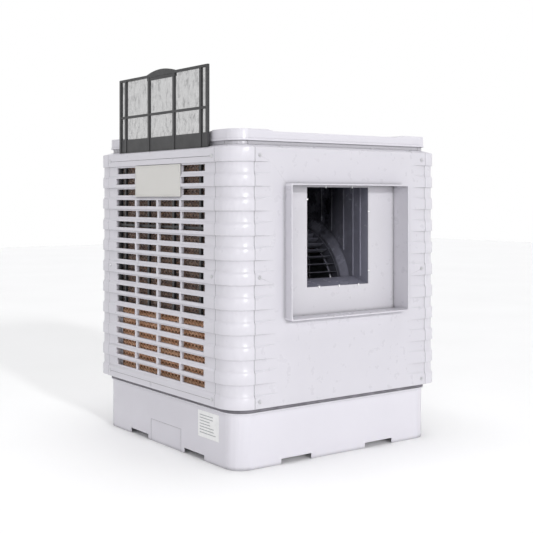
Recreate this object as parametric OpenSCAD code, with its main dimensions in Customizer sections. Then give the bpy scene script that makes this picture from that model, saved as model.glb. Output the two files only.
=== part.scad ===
// Side-discharge evaporative cooler: moulded basin, four corner columns, an outlet face with a duct
// collar, three louvred faces with sliding filters and wet pads, and a belt-driven blower inside.
// +Z is up, the outlet faces -Y, and the origin is the centre of the footprint on the floor.

/* [Cabinet] */
// Width of the cabinet across the outlet face
cabinet_w = 945; // [900:1:1150]
// Depth of the cabinet from the outlet face to the rear face
cabinet_d = 945; // [940:1:1150]
// Radius of the upright corners
corner_r = 84; // [60:1:84]
// Distance from a corner to the seam on the outlet face
seam_outlet = 86; // [86:1:95]
// Distance from a corner to the seam on a louvred face
seam_grille = 108; // [100:1:120]
// Width of the open seam between two panels
seam_gap = 1.2; // [0.6:0.1:2]
// Full thickness of a panel wall
wall = 8; // [7:0.5:10]

/* [Courses] */
// Number of clapboard courses
course_n = 10; // [10:1:12]
// Height of one course
course_pitch = 80; // [80:1:100]
// Depth of the step under each course
course_depth = 4.8; // [3:0.1:5.5]
// Height of the proud lower part of a course
course_proud = 35; // [30:1:36]
// Height of the ramp in the middle of a course
course_ramp = 10; // [4:1:12]

/* [Grille] */
// Number of slot columns in a louvred face
slot_cols = 4; // [4:1:4]
// Height of one slot
slot_h = 22.5; // [16:0.5:24]
// Width of the bar between two columns of slots
slot_gap = 11; // [8:0.5:16]
// Distance from the panel's side edge to the first slot
slot_margin = 63; // [60:1:70]
// Extra depth of the bars between the slots, behind the wall
slot_back = 5; // [2:0.5:5.5]

/* [Basin] */
// Height of the basin with its rim
basin_h = 204; // [204:1:260]
// Inset of the basin wall from the cabinet face
basin_inset = 35.5; // [34:0.5:37]
// Thickness of the basin wall and floor
basin_wall = 4; // [3:0.5:5]
// Height of the basin floor's underside
basin_floor_z = 20; // [20:1:26]
// Width of one notch between the feet
notch_w = 129; // [80:1:150]
// Distance of a notch's centre from the middle of a side
notch_at = 187; // [160:1:210]
// Height of a notch
notch_h = 18; // [10:1:19]

/* [Lid] */
// Inset of the lid from the cabinet face
lid_inset = 33; // [32:0.5:35]
// Height of the lid's side
lid_h = 32; // [28:1:40]
// Wall of the lid's side and top
lid_wall = 3.5; // [3:0.5:4]
// Rise of the lid's raised corners
lid_rise = 6; // [2:0.5:10]
// Length of a raised corner before its ramp
lid_corner = 130; // [90:1:160]

/* [Duct collar and mouth] */
// Outer width of the duct collar
collar_w = 533; // [500:1:560]
// Outer height of the duct collar
collar_h = 450; // [430:1:470]
// Distance that the collar stands out from the cabinet face
collar_out = 38; // [20:1:60]
// Distance of the mouth plate behind the cabinet face
collar_in = 38; // [30:1:45]
// Wall of the collar
collar_wall = 5; // [3:0.5:6]
// Width of the blower mouth
mouth_w = 280; // [260:1:300]
// Height of the blower mouth
mouth_h = 340.5; // [330:0.5:350]

/* [Filters] */
// Thickness of a filter with its mesh
filter_t = 10; // [8:0.5:12]
// Thickness of the mesh on the back of a filter
mesh_t = 1.2; // [0.8:0.1:1.6]
// Height that the left filter is pulled up
filter_lift = 270; // [0:1:400]
// Width of the upright bars in a filter frame
filter_bar = 12; // [8:1:16]
// Width of the cross bars in a filter frame
cross_bar = 9; // [6:1:12]

/* [Pads and water] */
// Thickness of a cellulose pad
pad_t = 50; // [40:1:60]
// Outer radius of the header pipe
pipe_r = 8; // [7:0.5:9]
// Outer radius of the riser hose
hose_r = 10.5; // [10:0.5:12]
// Radius of the pump's impeller
impeller_r = 30; // [24:1:36]
// Radius of the float
float_r = 36; // [30:1:38]
// Length of the float arm
float_arm_l = 150; // [140:1:170]
// Radius of the water inlet stub
inlet_r = 10; // [8:0.5:13]
// Outer radius of the drain tail
drain_r = 16; // [14:0.5:20]

/* [Blower] */
// Outer radius of the blower wheel
wheel_r = 245; // [230:1:250]
// Number of blades
blade_n = 48; // [36:1:56]
// Radius of the blower shaft
shaft_r = 10; // [8:0.5:12]
// Outer radius of the driven pulley
pulley_r = 140; // [110:1:160]
// Outer radius of the motor pulley
motor_pulley_r = 42; // [36:1:52]
// Radius of the motor body
motor_r = 66; // [55:1:75]
// Radius of the motor shaft
motor_shaft_r = 8; // [6:0.5:10]

/* [Clearances] */
// Radial clearance of a running shaft in its bore
run_fit = 0.05; // [0.02:0.01:0.1]
// Clearance of a filter in its guides
slide_fit = 0.4; // [0.3:0.1:0.6]
// Gap between a resting piece and its seat
seat_gap = 0.2; // [0.1:0.05:0.3]

/* [Hidden] */

// A small overrun, so that a cutting solid passes its face
cut = 1;
// Facets of round shapes
round_fn = 64;

// Sides, named by their place: outlet, left, rear, right
OUTLET = 0;
LEFT = 1;
REAR = 2;
RIGHT = 3;
function side_turn(side) = [0, -90, 180, 90][side];
function side_out(side) = side % 2 == 0 ? cabinet_d / 2 : cabinet_w / 2;
function side_len(side) = side % 2 == 0 ? cabinet_w : cabinet_d;

// Heights of the panels
panel_z = basin_h;
line_z = panel_z + course_n * course_pitch;
top_band_h = 46;
shoulder_h = 11;
lid_gap = 12.5;
shoulder_z = line_z + top_band_h;
neck_z = shoulder_z + shoulder_h;
neck_in = 40;
neck_t = 3;
flange_t = 4;
lid_z = neck_z + lid_gap;
lid_top = lid_z + lid_h;
neck_top = lid_top - lid_wall - seat_gap;

// Fasteners
screw_r = 1.8;
screw_head_r = 5.5;
screw_head_h = 2;
screw_l = 16;
screw_in = 19;
screw_in_grille = 15;
screw_low = 22;
screw_mid = 424;
screw_high = 20;
screw_zs = [panel_z + screw_low, panel_z + screw_mid, line_z + screw_high];
tongue_l = 26;
tongue_t = 3;

// Filters and their guides, as depths behind the face
filter_in = 14;
guide_wall = 3;
stop_h = 8;
filter_bottom = panel_z + flange_t + stop_h + slide_fit;
filter_top = neck_z;
filter_h = filter_top - filter_bottom;
handle_rise = 14;
function field_len(side) = side_len(side) - 2 * seam_grille - 2 * slot_margin;
function filter_w(side) = field_len(side) + 3;

// Pads, trays and troughs
tray_in = filter_in + filter_t + 4;
tray_t = 3;
pad_in = tray_in + 2;
pad_z = panel_z + flange_t + tray_t;
pad_top = line_z + 4;
trough_h = 18;
trough_t = 2;
pipe_z = pad_top + trough_h + 14;
pipe_in = pad_in + pad_t / 2;
pipe_bore = pipe_r - 1.6;
block = 20;
riser_in = 112;
pump_in = 162;
function pad_w(side) = field_len(side) + 46;

// Middle of the top row of slots, below the top course
slot_drop = 17.5;

// Nameplate
plate_w = 310;
plate_h = 112;
plate_z = line_z - 114;
plate_seat = 3;
plate_proud = 0.8;

// Collar and mouth
collar_drop = 71;
mouth_drop = 10.5;
collar_top = line_z - collar_drop;
collar_z = collar_top - collar_h;
mouth_top = collar_top - mouth_drop;
mouth_z = mouth_top - mouth_h;
plate_t = 3;
plate_lap = 8;
face_y = -cabinet_d / 2;
mouth_y = face_y + collar_in;
throat_y = mouth_y + plate_t;

// Scroll: a spiral that grows from the cut-off round to the top of the mouth
sheet_t = 2.5;
wheel_back = 412.5;
wheel_drop = 393.5;
tip_back = 90;
tip_rise = 20.5;
wheel_y = face_y + wheel_back;
wheel_z = mouth_top - wheel_drop;
cheek_x = mouth_w / 2;
tip_y = mouth_y + tip_back;
tip_z = mouth_z + tip_rise;
tip_turn = atan2(tip_z - wheel_z, wheel_y - tip_y);
scroll_start = norm([tip_y - wheel_y, tip_z - wheel_z]);
scroll_end = mouth_top - wheel_z;
scroll_turn = 270 + tip_turn;
scroll_steps = 72;
function scroll_radius(turn) = scroll_start + (scroll_end - scroll_start) * turn / scroll_turn;
function scroll_point(turn, grow) = [
    wheel_y - (scroll_radius(turn) + grow) * cos(tip_turn - turn),
    wheel_z + (scroll_radius(turn) + grow) * sin(tip_turn - turn)];
function scroll_points(from, grow) =
    [for (i = [0:scroll_steps]) scroll_point(from + (scroll_turn - from) * i / scroll_steps, grow)];
function reversed(list) = [for (i = [len(list) - 1:-1:0]) list[i]];

// Wheel, shaft and bearings
wheel_x = cheek_x - 18;
ring_t = 3;
blade_depth = 35;
blade_t = 1.8;
blade_steps = 5;
blade_bow = 7;
hub_r = 24;
hub_l = 60;
disc_t = 4;
ring_gap = 3.5;
inlet_flange_r = wheel_r + 48;
inlet_cone_r = wheel_r + 40;
cheek_out = cheek_x + sheet_t;
bracket_x = cheek_out + 15.5;
bracket_t = 6;
bracket_half = inlet_flange_r + 23;
bracket_w = 40;
bearing_x = bracket_x + bracket_t;
bearing_l = 20;
bearing_r = 26;
pulley_x = bearing_x + bearing_l + 15;
pulley_l = 20;
shaft_left = bearing_x + bearing_l + 12;
shaft_right = pulley_x + pulley_l + 8;
groove = 12;
belt_w = 9;
belt_t = 8;
belt_in = 9;
belt_steps = 40;

// Motor on its shelf behind the scroll
shelf_rise = 259;
motor_back = 330;
shelf_z = wheel_z + shelf_rise;
shelf_t = 4;
motor_y = wheel_y + motor_back;
motor_foot = 6;
motor_z = shelf_z + motor_foot + motor_r;
motor_half = 95;
shelf_end = motor_y + 68;

// Blower frame
rail = 30;
rail_t = 2;
rail_at = 140;
cleat = [18, 60, 8];
cleat_drop = 50;
cleat_z = basin_h - cleat_drop;
rail_z = cleat_z + cleat[2];
post_t = 4;

// Basin pieces
basin_out_w = cabinet_w - 2 * basin_inset;
basin_out_d = cabinet_d - 2 * basin_inset;
basin_r = corner_r - basin_inset + 11;
rim_h = 24;
rim_out = 4.5;
floor_z = basin_floor_z + basin_wall;
shank = 2;
drain_tail_z = 2;
stud_in = 172.5;
drain_in = 142;
gland_in = 212;
stud_x = cabinet_w / 2 - stud_in;
drain_y = -cabinet_d / 2 + drain_in;
stand_r = drain_r - 3.5;
water_drop = 54;
stand_top = basin_h - water_drop;
valve_y = cabinet_d / 2 - basin_inset - basin_wall;
valve_z = basin_h - water_drop;
valve_depth = 38;
valve_nut = 5;
inlet_l = 25;
float_pivot_y = valve_y - valve_depth - 6;
float_drop = asin((valve_z - floor_z - float_r - 4) / float_arm_l);
pin_r = 2.5;
gland_y = cabinet_d / 2 - gland_in;
gland_r = 9;
cord_r = 4.5;

// Pump
pump_x = -cabinet_w / 2 + pump_in;
pump_y = cabinet_d / 2 - pump_in;
riser_x = -cabinet_w / 2 + riser_in;
riser_y = cabinet_d / 2 - riser_in;
volute_z = floor_z + 8;
volute_h = 26;
chamber_gap = 3;
impeller_h = 14;
spindle_r = 4;
spigot_r = 8;

// ---------------------------------------------------------------- shared shapes

// Puts a shape drawn with X along a side and +Y inward onto that side
module on_side(side) {
    rotate([0, 0, side_turn(side)]) translate([0, -side_out(side), 0]) children();
}

// Turns a shape drawn about Z so that Z points along +X, at the height of an axis
module along_x(x, y, z) {
    translate([x, y, z]) rotate([0, 90, 0]) children();
}

// A flat shape drawn in (y, z), made thick along X from x
module plate_yz(x, thick) {
    translate([x, 0, 0]) rotate([90, 0, 90]) linear_extrude(thick) children();
}

// A box with four rounded upright edges, centred on Z
module rounded_box(w, d, z, h, r) {
    translate([-w / 2 + r, -d / 2, z]) cube([w - 2 * r, d, h]);
    translate([-w / 2, -d / 2 + r, z]) cube([w, d - 2 * r, h]);
    for (sx = [-1, 1], sy = [-1, 1])
        translate([sx * (w / 2 - r), sy * (d / 2 - r), z]) cylinder(r = r, h = h, $fn = round_fn);
}

// A ring drawn about Z
module tube(outer_r, inner_r, h) {
    difference() {
        cylinder(r = outer_r, h = h, $fn = round_fn);
        translate([0, 0, -cut]) cylinder(r = inner_r, h = h + 2 * cut, $fn = round_fn);
    }
}

// Outer line of a panel, as (depth, height) from the bottom up
function course_line(i) = let (z = panel_z + i * course_pitch) [
    [0, z], [0, z + course_proud], [course_depth, z + course_proud + course_ramp],
    [course_depth, z + course_pitch]];
function panel_front(stepped) = stepped
    ? [for (i = [0:course_n - 1]) each course_line(i)]
    : [[0, panel_z]];
function panel_section(stepped) = concat(
    panel_front(stepped),
    stepped ? [[0, line_z]] : [],
    [[0, shoulder_z], [neck_in, neck_z], [neck_in, neck_top], [neck_in + neck_t, neck_top],
        [neck_in + neck_t, neck_z - 4], [wall, shoulder_z - 4], [wall, panel_z + flange_t],
        [neck_in + neck_t, panel_z + flange_t], [neck_in + neck_t, panel_z]]);

// A panel's section drawn out along its side, from one place to another
module panel_run(from, to, stepped) {
    translate([from, 0, 0]) rotate([90, 0, 90]) linear_extrude(to - from)
        polygon(panel_section(stepped));
}

// ---------------------------------------------------------------- cabinet

// Short leg of a column along a side, with the tongue behind the next panel
module column_leg(side, seam, end) {
    edge = side_len(side) / 2;
    turn = end > 0 ? 0 : 1;
    mirror([turn, 0, 0]) {
        panel_run(edge - seam + seam_gap / 2, edge - corner_r, true);
        difference() {
            translate([edge - seam - tongue_l, 0, panel_z + flange_t + 2])
                linear_extrude(line_z - panel_z + 20)
                polygon([[0, wall + 0.3], [tongue_l, wall + 0.3], [tongue_l + seam_gap / 2, wall],
                    [tongue_l + seam - corner_r, wall], [tongue_l + seam - corner_r, wall + tongue_t],
                    [0, wall + tongue_t]]);
            at = edge - seam - (side == OUTLET ? screw_in : screw_in_grille);
            for (z = screw_zs)
                translate([at, wall - cut, z]) rotate([-90, 0, 0])
                    cylinder(r = screw_r, h = tongue_t + 2 * cut, $fn = 32);
        }
    }
}

// Corner column: sx and sy say which corner it stands on
module column(sx, sy) {
    x_side = sx < 0 ? LEFT : RIGHT;
    y_side = sy < 0 ? OUTLET : REAR;
    y_seam = sy < 0 ? seam_outlet : seam_grille;
    y_end = sy < 0 ? sx : -sx;
    x_end = sx < 0 ? -sy : sy;
    start = sx > 0 ? (sy > 0 ? 0 : 270) : (sy > 0 ? 90 : 180);
    color("#cfcad6") {
        translate([sx * (cabinet_w / 2 - corner_r), sy * (cabinet_d / 2 - corner_r), 0])
            rotate([0, 0, start]) rotate_extrude(angle = 90, $fn = round_fn)
                polygon([for (p = panel_section(true)) [corner_r - p[0], p[1]]]);
        on_side(y_side) column_leg(y_side, y_seam, y_end);
        on_side(x_side) column_leg(x_side, seam_grille, x_end);
    }
}

module column_front_left() column(-1, -1);
module column_front_right() column(1, -1);
module column_rear_left() column(-1, 1);
module column_rear_right() column(1, 1);

// Holes for the screws near a panel's side edges
module screw_holes(side) {
    at = side == OUTLET ? cabinet_w / 2 - seam_outlet - screw_in
        : side_len(side) / 2 - seam_grille - screw_in_grille;
    for (s = [-1, 1], z = screw_zs)
        translate([s * at, -cut, z]) rotate([-90, 0, 0])
            cylinder(r = screw_r + 0.4, h = wall + 2 * cut, $fn = 32);
}

// One fading course cut, drawn at the panel's right edge and running inward
module fading_course(i, edge) {
    z = panel_z + i * course_pitch;
    fade = 65 + (course_n - 1 - i) * 3.3;
    lean = atan(course_depth / fade);
    out = 3;
    translate([edge, course_depth, 0]) rotate([0, 0, 180 + lean]) translate([-10, 0, 0])
        rotate([90, 0, 90]) linear_extrude(fade + 20)
            polygon([[0, z + course_proud + course_ramp], [0, z + course_pitch],
                [course_depth + out, z + course_pitch], [course_depth + out, z + course_proud],
                [course_depth, z + course_proud]]);
}

// Outlet face with its duct collar
module outlet_panel() {
    edge = cabinet_w / 2 - seam_outlet - seam_gap / 2;
    collar_l = collar_out + collar_in;
    color("#d3cfda") difference() {
        union() {
            on_side(OUTLET) difference() {
                panel_run(-edge, edge, false);
                for (i = [0:course_n - 1], turn = [0, 1])
                    mirror([turn, 0, 0]) fading_course(i, edge);
                screw_holes(OUTLET);
            }
            translate([0, face_y - collar_out, collar_z + collar_h / 2]) rotate([-90, 0, 0])
                rounded_box(collar_w, collar_h, 0, collar_l, 9);
        }
        translate([0, face_y - collar_out, collar_z + collar_h / 2]) rotate([-90, 0, 0])
            rounded_box(collar_w - 2 * collar_wall, collar_h - 2 * collar_wall, -cut, collar_l + 2 * cut, 5);
    }
}

// Plate behind the collar that frames the blower mouth
module mouth_plate() {
    color("#d9d6dc") difference() {
        translate([-collar_w / 2 - plate_lap, mouth_y, collar_z - plate_lap])
            cube([collar_w + 2 * plate_lap, plate_t, collar_h + 2 * plate_lap]);
        translate([-mouth_w / 2, mouth_y - cut, mouth_z])
            cube([mouth_w, plate_t + 2 * cut, mouth_h]);
    }
}

// Small clips round the edge of the mouth
module mouth_clips() {
    clip = [5, 2, 8];
    reach = 3;
    color("white") {
        for (z = [mouth_z + 44, mouth_top - 87])
            translate([mouth_w / 2 - reach, mouth_y - clip[1], z]) cube([clip[2], clip[1], clip[0]]);
        translate([-mouth_w / 2 + reach - clip[2], mouth_y - clip[1], mouth_top - 44])
            cube([clip[2], clip[1], clip[0]]);
        for (x = [-60, 60])
            translate([x, mouth_y - clip[1], mouth_top - reach]) cube(clip);
        for (x = [-90, 0, 90])
            translate([x, mouth_y - clip[1], mouth_z + reach - clip[2]]) cube(clip);
    }
}

// Two guides that a filter slides in, with its stops
module filter_guides(side) {
    in = filter_w(side) / 2 + slide_fit + 1;
    back = filter_in + filter_t + slide_fit;
    z = panel_z + flange_t;
    for (turn = [0, 1]) mirror([turn, 0, 0]) {
        translate([in, wall, z]) cube([guide_wall, back - wall + 2.6, shoulder_z - 4 - z]);
        translate([in - 2.4, wall, z])
            cube([2.4 + guide_wall, filter_in - slide_fit - wall, shoulder_z - 4 - z]);
        translate([in - 8, back, z]) cube([8 + guide_wall, 2.6, shoulder_z - 4 - z]);
        translate([in - 24, wall, z]) cube([24 + guide_wall, back - wall + 2.6, stop_h]);
    }
}

// Louvred face: a grid of slots, a slot in the shoulder for the filter, and the filter's guides
module grille(side, plated) {
    edge = side_len(side) / 2 - seam_grille - seam_gap / 2;
    field = field_len(side);
    slot_w = (field - (slot_cols - 1) * slot_gap) / slot_cols;
    rows = 2 * course_n - 1;
    plate_rows = plated ? 3 : 0;
    lattice = filter_w(side) - 2;
    lattice_drop = (rows + 0.5) * course_pitch / 2 - slot_drop + slot_h / 2;
    color("#cfcad6") on_side(side) {
        difference() {
            union() {
                panel_run(-edge, edge, true);
                filter_guides(side);
                translate([-lattice / 2, wall - cut, line_z - lattice_drop])
                    cube([lattice, slot_back + cut, lattice_drop]);
            }
            for (row = [0:rows - 1], col = [0:slot_cols - 1])
                if (row >= plate_rows || col == 0 || col == slot_cols - 1)
                    translate([-field / 2 + col * (slot_w + slot_gap), -cut,
                        line_z - slot_drop - row * course_pitch / 2 - slot_h / 2])
                        cube([slot_w, wall + slot_back + 2 * cut, slot_h]);
            translate([-filter_w(side) / 2 - 1, filter_in - slide_fit, shoulder_z - 8])
                cube([filter_w(side) + 2, filter_t + 2 * slide_fit, 30]);
            if (plated)
                translate([-plate_w / 2 - 0.3, -cut, plate_z - 0.3])
                    cube([plate_w + 0.6, cut + plate_seat, plate_h + 0.6]);
            screw_holes(side);
        }
    }
}

module grille_left() grille(LEFT, true);
module grille_rear() grille(REAR, false);
module grille_right() grille(RIGHT, false);

// Blank badge over the top slots of the left face
module nameplate() {
    color("#e2ddd2") on_side(LEFT)
        translate([-plate_w / 2, -plate_proud, plate_z])
            cube([plate_w, plate_proud + plate_seat, plate_h]);
}

// Thin label on the basin, near the front corner
module rating_sticker() {
    sticker = [125, 0.4, 89];
    sticker_in = 258;
    sticker_drop = 125;
    color("white") on_side(LEFT)
        translate([cabinet_d / 2 - sticker_in, basin_inset - sticker[1], basin_h - sticker_drop])
            cube(sticker);
}

// One screw, head outward, drawn with +Y into the panel
module screw() {
    rotate([-90, 0, 0]) {
        translate([0, 0, -screw_head_h]) difference() {
            cylinder(r = screw_head_r, h = screw_head_h, $fn = 32);
            for (a = [0, 90]) rotate([0, 0, a]) translate([-3.5, -0.5, -cut]) cube([7, 1, cut + 1.2]);
        }
        cylinder(r = screw_r, h = screw_l, $fn = 32);
    }
}

module panel_screws() {
    color("silver") {
        for (s = [-1, 1], z = screw_zs) {
            on_side(OUTLET) translate([s * (cabinet_w / 2 - seam_outlet - screw_in), 0, z]) screw();
            for (side = [LEFT, REAR, RIGHT]) on_side(side)
                translate([s * (side_len(side) / 2 - seam_grille - screw_in_grille), 0, z]) screw();
        }
    }
}

// Lift-off lid with a lower lip, raised corners and ribs under the top
module lid() {
    w = cabinet_w - 2 * lid_inset;
    d = cabinet_d - 2 * lid_inset;
    r = corner_r - lid_inset;
    ramp = 27;
    lip = 1.8;
    color("#dad7e0") {
        difference() {
            union() {
                rounded_box(w, d, lid_z, lid_h, r);
                rounded_box(w + 2 * lip, d + 2 * lip, lid_z, 7, r + lip);
            }
            rounded_box(w - 2 * lid_wall, d - 2 * lid_wall, lid_z - cut, lid_h - lid_wall + cut,
                r - lid_wall);
        }
        intersection() {
            rounded_box(w, d, lid_top, lid_rise, r);
            for (sx = [-1, 1], sy = [-1, 1]) intersection() {
                rotate([90, 0, 0]) translate([0, 0, -d]) linear_extrude(2 * d)
                    polygon([[sx * (w / 2 + 5), lid_top], [sx * (w / 2 - lid_corner - ramp), lid_top],
                        [sx * (w / 2 - lid_corner), lid_top + lid_rise],
                        [sx * (w / 2 + 5), lid_top + lid_rise]]);
                plate_yz(-w, 2 * w)
                    polygon([[sy * (d / 2 + 5), lid_top], [sy * (d / 2 - lid_corner - ramp), lid_top],
                        [sy * (d / 2 - lid_corner), lid_top + lid_rise],
                        [sy * (d / 2 + 5), lid_top + lid_rise]]);
            }
        }
        rib_z = lid_top - lid_wall - 12;
        rib_l = 2 * (neck_in + neck_t + 6);
        for (s = [-1, 1]) {
            translate([s * w / 5 - 1.5, -cabinet_d / 2 + rib_l / 2, rib_z]) cube([3, cabinet_d - rib_l, 12]);
            translate([-cabinet_w / 2 + rib_l / 2, s * d / 5 - 1.5, rib_z]) cube([cabinet_w - rib_l, 3, 12]);
        }
    }
}

// ---------------------------------------------------------------- basin

// Walls of the tank down to the feet, with a rim, four cleats for the rails, and holes for fittings
module basin() {
    inner_w = basin_out_w - 2 * basin_wall;
    inner_d = basin_out_d - 2 * basin_wall;
    inner_r = basin_r - basin_wall;
    service = [205, 1.6, 79];
    color("#cdc9d3") difference() {
        union() {
            rounded_box(basin_out_w, basin_out_d, 0, basin_h, basin_r);
            rounded_box(basin_out_w + 2 * rim_out, basin_out_d + 2 * rim_out, basin_h - rim_h, rim_h,
                basin_r + rim_out);
        }
        difference() {
            rounded_box(inner_w, inner_d, -cut, basin_h + 2 * cut, inner_r);
            for (sx = [-1, 1], sy = [-1, 1])
                translate([sx * (inner_w - cleat[0]) / 2, wheel_y + sy * rail_at, cleat_z])
                    translate([-cleat[0] / 2 - cut, -cleat[1] / 2, 0]) cube(cleat + [2 * cut, 0, 0]);
        }
        for (side = [OUTLET, LEFT, REAR, RIGHT], s = [-1, 1]) on_side(side)
            translate([s * notch_at - notch_w / 2, basin_inset - cut, -cut])
                cube([notch_w, basin_wall + 2 * cut, notch_h + cut]);
        on_side(LEFT) translate([-service[0] / 2, basin_inset - cut, -cut])
            cube([service[0], cut + service[1], service[2] + cut]);
        translate([stud_x, valve_y - cut, valve_z]) rotate([-90, 0, 0])
            cylinder(r = inlet_r + shank, h = basin_wall + 2 * cut, $fn = round_fn);
        along_x(basin_out_w / 2 - basin_wall - cut, gland_y, valve_z)
            cylinder(r = gland_r, h = basin_wall + 2 * cut, $fn = round_fn);
    }
}

// Floor plate of the tank, let in between its walls, with the hole for the drain
module basin_floor() {
    color("#c6c2cc") difference() {
        rounded_box(basin_out_w - 2 * basin_wall, basin_out_d - 2 * basin_wall, basin_floor_z, basin_wall,
            basin_r - basin_wall);
        translate([stud_x, drain_y, basin_floor_z - cut])
            cylinder(r = drain_r + shank, h = basin_wall + 2 * cut, $fn = round_fn);
    }
}

// Drain with a flange on the basin floor, a shank through it and a tail below it
module drain_fitting() {
    color("#3a3a3e") translate([stud_x, drain_y, 0]) difference() {
        union() {
            translate([0, 0, drain_tail_z])
                cylinder(r = drain_r, h = floor_z - drain_tail_z + 1, $fn = round_fn);
            translate([0, 0, basin_floor_z - shank])
                cylinder(r = drain_r + shank, h = basin_wall + shank + 1, $fn = round_fn);
            translate([0, 0, floor_z]) cylinder(r = drain_r + 10, h = 4, $fn = round_fn);
        }
        cylinder(r = stand_r + run_fit, h = floor_z + 10, $fn = round_fn);
    }
}

// Standpipe that sets the water level and pulls out to drain the tank
module overflow_standpipe() {
    seat = floor_z + 4 + seat_gap;
    color("#55575c") translate([stud_x, drain_y, 0]) difference() {
        union() {
            translate([0, 0, 8]) cylinder(r = stand_r, h = stand_top - 8, $fn = round_fn);
            translate([0, 0, seat]) cylinder(r = stand_r + 3, h = 6, $fn = round_fn);
        }
        translate([0, 0, 8 - cut]) cylinder(r = stand_r - 2.5, h = stand_top, $fn = round_fn);
    }
}

// ---------------------------------------------------------------- filters

// Frame of a filter, drawn lowered: side bars, cross bars, a closed band and a solid arched handle
module filter_frame(side) {
    w = filter_w(side);
    t = filter_t - mesh_t;
    top = filter_top;
    arch_half = 98;
    arch_r = (arch_half * arch_half + handle_rise * handle_rise) / (2 * handle_rise);
    grip_drop = 20;
    bar_back = 0.6;
    cross_back = 1.2;
    grip_back = 1.8;
    band_back = 3;
    band_z = filter_bottom + 560;
    band_h = 58;
    bars = [-w * 0.425, -w * 0.142, w * 0.142, w * 0.425];
    cross_zs = [filter_bottom + 293, filter_bottom + 697];
    translate([0, filter_in, 0]) {
        difference() {
            translate([-w / 2, 0, filter_bottom]) cube([w, t, filter_h]);
            translate([-w / 2 + filter_bar, -cut, filter_bottom + cross_bar])
                cube([w - 2 * filter_bar, t + 2 * cut, filter_h - 2 * cross_bar]);
        }
        for (x = bars)
            translate([x - filter_bar / 2, bar_back, filter_bottom + cut])
                cube([filter_bar, t - bar_back, filter_h - 2 * cut]);
        for (z = cross_zs)
            translate([-w / 2 + cut, cross_back, z]) cube([w - 2 * cut, t - cross_back, cross_bar]);
        translate([-w / 2 + cut, band_back, band_z]) cube([w - 2 * cut, t - band_back, band_h]);
        translate([-arch_half + cut, grip_back, top - grip_drop])
            cube([2 * (arch_half - cut), t - grip_back, grip_drop - cut]);
        intersection() {
            translate([0, 0, top + handle_rise - arch_r]) rotate([-90, 0, 0])
                cylinder(r = arch_r, h = t, $fn = 256);
            translate([-arch_half, -cut, top - 0.5 * cross_bar])
                cube([2 * arch_half, t + 2 * cut, handle_rise + cross_bar]);
        }
    }
}

// Mesh on the back of a filter, drawn lowered
module filter_mesh(side) {
    translate([-filter_w(side) / 2 + 3, filter_in + filter_t - mesh_t, filter_bottom + 3])
        cube([filter_w(side) - 6, mesh_t, filter_h - 6]);
}

module filter_frame_left() {
    color("#3d3f45") on_side(LEFT) translate([0, 0, filter_lift]) filter_frame(LEFT);
}
module filter_mesh_left() {
    color("#9a9ca2") on_side(LEFT) translate([0, 0, filter_lift]) filter_mesh(LEFT);
}
module filter_frame_rear() {
    color("#3d3f45") on_side(REAR) filter_frame(REAR);
}
module filter_mesh_rear() {
    color("#9a9ca2") on_side(REAR) filter_mesh(REAR);
}
module filter_frame_right() {
    color("#3d3f45") on_side(RIGHT) filter_frame(RIGHT);
}
module filter_mesh_right() {
    color("#9a9ca2") on_side(RIGHT) filter_mesh(RIGHT);
}

// ---------------------------------------------------------------- pads and water

// Wet pad of cellulose
module pad(side) {
    color("#b8844a") on_side(side)
        translate([-pad_w(side) / 2, pad_in, pad_z]) cube([pad_w(side), pad_t, pad_top - pad_z]);
}

module pad_left() pad(LEFT);
module pad_rear() pad(REAR);
module pad_right() pad(RIGHT);

// Channel round a pad, open in front, with bars behind
module pad_tray(side) {
    w = pad_w(side);
    deep = pad_in + pad_t + tray_t - tray_in;
    color("#8d9096") on_side(side) {
        translate([-w / 2 - tray_t, tray_in, pad_z - tray_t]) cube([w + 2 * tray_t, deep, tray_t]);
        for (x = [-w / 2 - tray_t, w / 2])
            translate([x, tray_in, pad_z - tray_t]) cube([tray_t, deep, pad_top - pad_z + tray_t]);
        for (i = [0:4])
            translate([-w / 2 - cut, pad_in + pad_t, pad_z + (pad_top - pad_z - 12) * i / 4])
                cube([w + 2 * cut, tray_t, 12]);
        for (x = [-w / 6, w / 6])
            translate([x - 5, pad_in + pad_t, pad_z - cut]) cube([10, tray_t, pad_top - pad_z + cut]);
    }
}

module pad_tray_left() pad_tray(LEFT);
module pad_tray_rear() pad_tray(REAR);
module pad_tray_right() pad_tray(RIGHT);

// Trough on top of a pad, with drip slots in its floor
module water_trough(side) {
    w = pad_w(side) + 2 * tray_t;
    drips = 12;
    color("#c9ccd2") on_side(side) difference() {
        translate([-w / 2, pad_in, pad_top]) cube([w, pad_t, trough_h]);
        translate([-w / 2 + trough_t, pad_in + trough_t, pad_top + trough_t])
            cube([w - 2 * trough_t, pad_t - 2 * trough_t, trough_h]);
        for (i = [0:drips - 1])
            translate([-w / 2 + (i + 0.5) * w / drips - 10, pad_in + pad_t / 2 - 2, pad_top - cut])
                cube([20, 4, trough_t + 2 * cut]);
    }
}

module water_trough_left() water_trough(LEFT);
module water_trough_rear() water_trough(REAR);
module water_trough_right() water_trough(RIGHT);

// A straight stretch of header pipe along X or Y
module pipe_x(x0, x1, y, r) {
    along_x(x0, y, pipe_z) cylinder(r = r, h = x1 - x0, $fn = round_fn);
}
module pipe_y(x, y0, y1, r) {
    translate([x, y0, pipe_z]) rotate([-90, 0, 0]) cylinder(r = r, h = y1 - y0, $fn = round_fn);
}

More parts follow.
